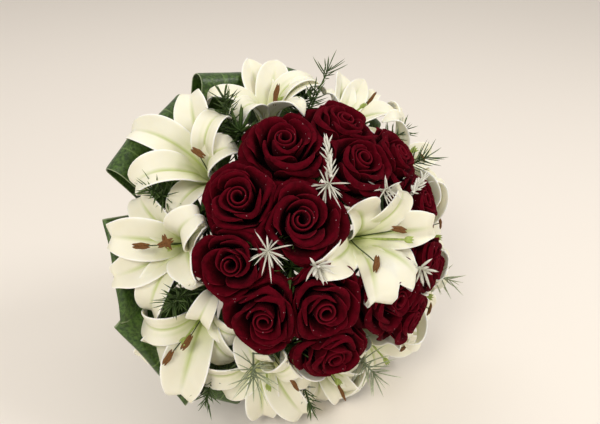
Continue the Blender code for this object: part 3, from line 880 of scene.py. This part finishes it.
leaves = {
    # blades of each leaf: polar, azimuth, fold distance, width, fold radius, return, skew of the fold
    "leaf_01": [(64, -8, 158, 42, 8, 60, -16)],
    "leaf_02": [(62, 17, 157, 28, 6, 50, -8)],
    "leaf_03": [(66, 52, 156, 42, 8, 50, 0)],
    "leaf_04": [(66, 84, 154, 42, 8, 50, 5)],
    "leaf_05": [(66, 112, 154, 42, 8, 50, -5)],
    "leaf_06": [(66, 140, 150, 42, 6, 40, 4)],
    "leaf_07": [(66, 168, 138, 42, 4, 30, 0)],
    "leaf_08": [(66, -164, 138, 44, 4, 30, 0), (66, -139, 148, 34, 6, 40, 6)],
    "leaf_09": [(64, -113.5, 159, 84, 3.0, 70, 1.5)],
    "leaf_10": [(65, -83, 156, 78, 3.0, 70, 1)],
    "leaf_11": [(66, -47, 161, 40, 9, 50, -7), (66, -29, 153, 36, 8, 45, 4)],
}
# the strip comes out of the stems this far from the focus, and turns back this far over its fold
bladeShape = {"start": 62.0, "turn": 168, "half": 0.55, "rows": 23, "columns": 61, "stem": 1.7, "stemEnd": 64}


# A broad strip run out from the stems, then folded back over a bend of the given radius.
# Its heading is 168 degrees x the share of the bend passed, plus a slow wave.
def blade(polar, azimuth, fold, width, radius, back, skew, rng):
    line = direction(polar, azimuth)
    turned = focus + fold * mm * line
    tangent = direction(90, azimuth + 90)
    tangent = math.cos(rad(skew)) * tangent + math.sin(rad(skew)) * line
    line = unit(line - (line @ tangent) * tangent)
    behind = unit(np.cross(tangent, line))
    behind = behind if behind @ axis < 0 else -behind
    start, columns = bladeShape["start"], bladeShape["columns"]
    arc = math.pi * radius
    total = fold - start + arc + back
    s = np.linspace(0, total, columns)[None, :]
    passed = np.clip((s - (fold - start - radius)) / arc, 0, 1)
    bend = rad(bladeShape["turn"]) * passed + 0.08 * np.sin(s / 30 + rng.uniform(0, 6))
    out = start + np.cumsum(np.cos(bend), axis=1) * total / (columns - 1)
    away = np.cumsum(np.sin(bend), axis=1) * total / (columns - 1)
    u = crowded(-1, bladeShape["rows"])[:, None]
    stations = [0, 12, 60, fold - start, total - 20, total]
    grown = np.interp(s, stations, [3, 9, width / 2, width / 2, 0.42 * width, 0.30 * width])
    side = u * grown
    cup = 0.003 * side**2 * (1 - passed) + 0.5 * np.sin(side / 7 + s / 11)
    points = (out - fold + 0 * u)[..., None] * line + (away + cup)[..., None] * behind
    points = points + side[..., None] * tangent
    half = bladeShape["half"] * mm * np.sqrt(1 - np.abs(u) ** 20) * np.sqrt(1 - (s / total) ** 60)
    # painted shade grows along the strip that returns under the fold
    underFoldShade, edge = 0.55 * passed * ramp(s, fold - start + arc, total), ramp(np.abs(u), 0.97, 1.0)
    part = shell(turned + points * mm, half, shadeOf(half.shape, underFoldShade, edge))
    uv = np.stack([side / 10, s / 10 + 0 * side], axis=-1).reshape(-1, 2)
    part["uv"] = np.vstack([uv, uv])
    return part


for number, (name, blades) in enumerate(leaves.items()):
    rng = np.random.default_rng(200 + number)
    solid = [(blade(*spec, rng), leafGloss) for spec in blades]
    line = direction(*blades[0][:2])
    base = focus + bladeShape["stemEnd"] * mm * line
    makePiece(name, "Blade", solid, line, base, bladeShape["stem"] * mm)
print("leaves", len(leaves))


# Sprigs

sprigs = {
    # polar, azimuth, distance of the tip, then needles, their length, spread, stretch of twig, and kind
    "sprig_green_01": (47, -22, 176, 60, 16, 70, 40, "green"),
    "sprig_green_02": (41, 12, 170, 26, 14, 70, 24, "green"),
    "sprig_green_03": (53, 24, 172, 14, 17, 60, 8, "green"),
    "sprig_green_04": (48, 60, 170, 34, 17, 66, 30, "green"),
    "sprig_green_05": (38, 70, 178, 32, 17, 66, 26, "green"),
    "sprig_green_06": (52, -59, 168, 54, 16, 74, 34, "green"),
    "sprig_green_07": (48, -95, 168, 64, 16, 78, 36, "green"),
    "sprig_green_08": (58, -129, 170, 44, 14, 66, 36, "green"),
    "sprig_green_09": (51, -163, 168, 26, 11, 60, 20, "green"),
    "sprig_green_10": (37, 179, 178, 26, 20, 78, 16, "pale"),
    "sprig_green_11": (46, 122, 178, 24, 19, 74, 20, "pale"),
    "sprig_green_12": (41, -130, 178, 28, 21, 84, 14, "pale"),
    "sprig_white_13": (14.3, -24.2, 187, 19, 16, 95, 9, "white"),
    "sprig_white_14": (12, 45, 186, 15, 14, 80, 10, "white"),
    "sprig_white_15": (22.9, -81.8, 185, 20, 17, 95, 9, "white"),
    "sprig_white_16": (14, -101, 188, 13, 11, 84, 8, "floret"),
    "sprig_white_17": (18, 131, 187, 12, 12, 84, 10, "floret"),
}
needleKinds = {
    # material, half thickness in mm, how flat, and how much they hang
    "green": (needleGreen, 0.62, 0.7, 0.0),
    "pale": (needlePale, 0.62, 0.7, 0.1),
    "white": (needleWhite, 0.72, 0.8, 0.45),
    "floret": (needleWhite, 1.9, 0.5, 0.5),
    "ear": (needleWhite, 1.0, 0.6, 0.0),
}
earSpray = (34, 8.5, 34)  # needles, their length, their spread
# feathery ears that two sprigs carry: where they start and end, as polar, azimuth and distance
ears = {
    "sprig_white_13": ((15, -22, 190), (21.0, -9, 189)),
    "sprig_white_14": ((15, 68, 189), (24, 70, 185)),
}
mossSpray = (70, 20, 84, 22)  # needles, their length, their spread, the stretch of twig
mossNeedle = (1.6, 0.35, 0.0)  # half thickness in mm, how flat, and how much they hang
# dark moss closes the gaps between the roses and lilies: polar, azimuth and distance of its top
mossed = {
    "sprig_green_01": [(43, -22, 148)],
    "sprig_green_02": [(52, 18, 147)],
    "sprig_green_06": [(42, -64, 141)],
    "sprig_green_10": [(37, 179, 152)],
    "sprig_green_12": [(41, -130, 153), (33, -143, 152)],
    "sprig_white_13": [(14.3, -24.2, 152)],
    "sprig_white_14": [(12, 45, 146)],
    "sprig_white_15": [(22.9, -81.8, 154)],
    "sprig_white_16": [(17.5, -101, 156)],
    "sprig_white_17": [(18, 131, 150)],
}


# a point at a distance from the focus
def spot(polar, azimuth, distance):
    return focus + distance * mm * direction(polar, azimuth)


# the faces of many parts as one surface that a ray can be tested against
def surfaceOf(parts):
    starts = np.cumsum([0] + [len(part["points"]) for part in parts[:-1]])
    quads = np.vstack([part["quads"] + start for part, start in zip(parts, starts)])
    return BVHTree.FromPolygons(np.vstack([part["points"] for part in parts]).tolist(), quads.tolist())


# Needles up the last stretch of a twig, each turned by the golden angle from the one below. A needle is
# base + reach x (t x aim + t^2 x curve), thickest at its middle, and stops short of a barrier.
def needles(anchor, line, tip, spray, section, rng, barrier=None):
    count, length, spread, stretch = spray
    thick, flat, hang = section
    outward, sideways = spokes(line)
    sag = hang * np.array([0, 0, 1])
    made = []
    for k in range(count):
        share = (k + 0.5) / count
        at = tip - stretch * (1 - share) ** 1.1
        turn = k * goldenAngle + rng.normal(0, 0.25)
        lean = rad(spread * (1 - 0.6 * share**1.5) + rng.normal(0, 9) + 6)
        around = math.cos(turn) * outward + math.sin(turn) * sideways
        aim = unit(math.cos(lean) * line + math.sin(lean) * around - sag)
        curve = rng.normal(0, 0.2) * np.cross(aim, around) + 0.1 * line - 0.3 * sag
        reach = length * rng.uniform(0.6, 1.15)
        if barrier:
            met = barrier.ray_cast(Vector(anchor + at * mm * line), Vector(aim + curve), 1.1 * reach * mm)[3]
            reach = reach if met is None else min(reach, 0.85 * met / mm)
        t = np.linspace(0, 1, 5)
        path = anchor + mm * (at * line + np.outer(reach * t, aim) + np.outer(reach * t**2, curve))
        radii = thick * mm * np.array([0.6, 0.95, 1.0, 0.8, 0.0])
        made.append(tube(path, radii, 4, (0.15 + 0.85 * t) * rng.uniform(0.6, 1.0), flat))
    return made


twigShape = {"start": 0.097, "foot": 1.4, "tip": 0.6, "earFoot": 1.3, "earTip": 0.5, "stem": 1.6}
petalWalls = surfaceOf(allPetals)
for number, (name, (polar, azimuth, tip, *spray, kind)) in enumerate(sprigs.items()):
    rng = np.random.default_rng(300 + number)
    line = direction(polar, azimuth)
    made, *section = needleKinds[kind]
    solid = [(part, made) for part in needles(focus, line, tip, spray, section, rng)]
    if name in ears:
        first, last = spot(*ears[name][0]), spot(*ears[name][1])
        size = np.linalg.norm(last - first) / mm
        ear = needles(first, unit(last - first), size, (*earSpray, size), needleKinds["ear"][1:], rng)
        solid += [(part, made) for part in ear]
        radii = np.linspace(twigShape["earFoot"], twigShape["earTip"], 5) * mm
        solid.append((tube(np.linspace(first, last, 5), radii, 6, 0.6), made))
    twig = focus + np.outer(np.linspace(twigShape["start"], tip * mm, 6), line)
    solid.append((tube(twig, np.linspace(twigShape["foot"], twigShape["tip"], 6) * mm, 6, 0.3), made))
    for mossPolar, mossAzimuth, top in mossed.get(name, []):
        moss = needles(focus, direction(mossPolar, mossAzimuth), top, mossSpray, mossNeedle, rng, petalWalls)
        solid += [(part, needleGreen) for part in moss]
    base = focus + twigShape["start"] * line
    makePiece(name, "Twig", solid, line, base, twigShape["stem"] * mm)
print("sprigs", len(sprigs))


# Ribbon

ribbonShape = {"pitch": 19.0, "inner": 19.9, "outer": 22.0, "lap": 0.8, "ends": (4.5, 133.5)}


# overlapping turns: radius = outer - lap x phase, where phase climbs one step a pitch and a turn
def ribbonPart():
    inner, rows, columns = ribbonShape["inner"], 280, 72
    first, last = ribbonShape["ends"]
    length = np.linspace(first, last, rows)[:, None]
    turn = np.linspace(0, 2 * math.pi, columns, endpoint=False)[None, :]
    phase = (length / ribbonShape["pitch"] + turn / (2 * math.pi)) % 1
    crease = 0.12 * np.sin(11 * turn + length / 5) + 0.08 * np.sin(5 * turn - length / 9)
    ends = np.minimum(ramp(length, first - 0.1, first + 2), 1 - ramp(length, last - 2, last + 0.1))
    radius = inner + (ribbonShape["outer"] - ribbonShape["lap"] * phase + crease - inner) * ends
    grid = np.stack([radius * np.cos(turn), radius * np.sin(turn), -length + 0 * turn], axis=-1)
    points = binding + mm * grid.reshape(-1, 3) @ np.array([across, upright, axis])
    edge = ramp(phase, 0.90, 1.0) + 1 - ramp(phase, 0.0, 0.04)
    shades = shadeOf(phase.shape, 0.5, np.clip(edge, 0, 1)).reshape(-1, 4)
    return {"points": points, "quads": gridFaces(rows, columns, wrap=True), "shades": shades}


makeObject("handleRibbon", [(ribbonPart(), ribbonSatin)], "ribbon_wrap")
print("ribbon")


# Floor, light and camera

studio = {"floorColour": (0.885, 0.828, 0.760), "skyColour": (1.0, 0.955, 0.90), "skyStrength": 0.62}
h = 4.0  # half the floor
floorMesh = bpy.data.meshes.new("floor")
floorMesh.from_pydata([(-h, -h, 0), (h, -h, 0), (h, h, 0), (-h, h, 0)], [], [(0, 1, 2, 3)])
floor = addObject("floor", floorMesh)
floorMade, _, floorShader, _ = startMaterial("paleFloor", 0.7, 0.3)
floorShader.inputs["Base Color"].default_value = (*studio["floorColour"], 1)
floorMesh.materials.append(floorMade)

world = bpy.data.worlds.new("studio")
bpy.context.scene.world = world
world.use_nodes = True
sky = world.node_tree.nodes["Background"].inputs
sky["Color"].default_value = (*studio["skyColour"], 1)
sky["Strength"].default_value = studio["skyStrength"]


# puts a lamp or the camera at a place, looking along a direction
def stand(obj, place, aim):
    obj.location = place
    obj.rotation_mode = "QUATERNION"
    obj.rotation_quaternion = aim.to_track_quat("-Z", "Y")


lamps = {
    # place, size, power, colour
    "key": ((-1.00, -0.75, 1.20), 0.5, 9.2, (1.0, 0.97, 0.92)),
    "top": ((0.80, -0.85, 1.30), 0.6, 8.2, (1.0, 0.98, 0.95)),
    "fill": ((0.2, 0.9, 1.5), 1.0, 4, (1.0, 0.98, 0.96)),
}
for name, (place, size, power, colour) in lamps.items():
    lampData = bpy.data.lights.new(name, "AREA")
    lampData.shape = "DISK"
    lampData.size, lampData.energy, lampData.color = size, power, colour
    stand(addObject(name, lampData), place, Vector(bouquet["domeCentre"]) - Vector(place))

# the photograph was taken 0.6 m from the dome, 32 degrees to its left and 30 degrees up
photoView = {"turn": -31.8, "rise": 30.0, "distance": 0.60, "aimTurn": -33.86, "aimRise": 27.74}


# a heading round from straight in front of the dome, and up
def towards(turn, rise):
    turn, rise = rad(turn), rad(rise)
    return Vector((math.sin(turn) * math.cos(rise), -math.cos(turn) * math.cos(rise), math.sin(rise)))


cameraData = bpy.data.cameras.new("camera")
cameraData.lens = 42.4
cameraData.sensor_width = 36
camera = addObject("camera", cameraData)
place = photoView["distance"] * towards(photoView["turn"], photoView["rise"])
aim = -towards(photoView["aimTurn"], photoView["aimRise"])
stand(camera, Vector(bouquet["domeCentre"]) + place, aim)
bpy.context.scene.camera = camera
bpy.context.scene.view_settings.view_transform = "Standard"
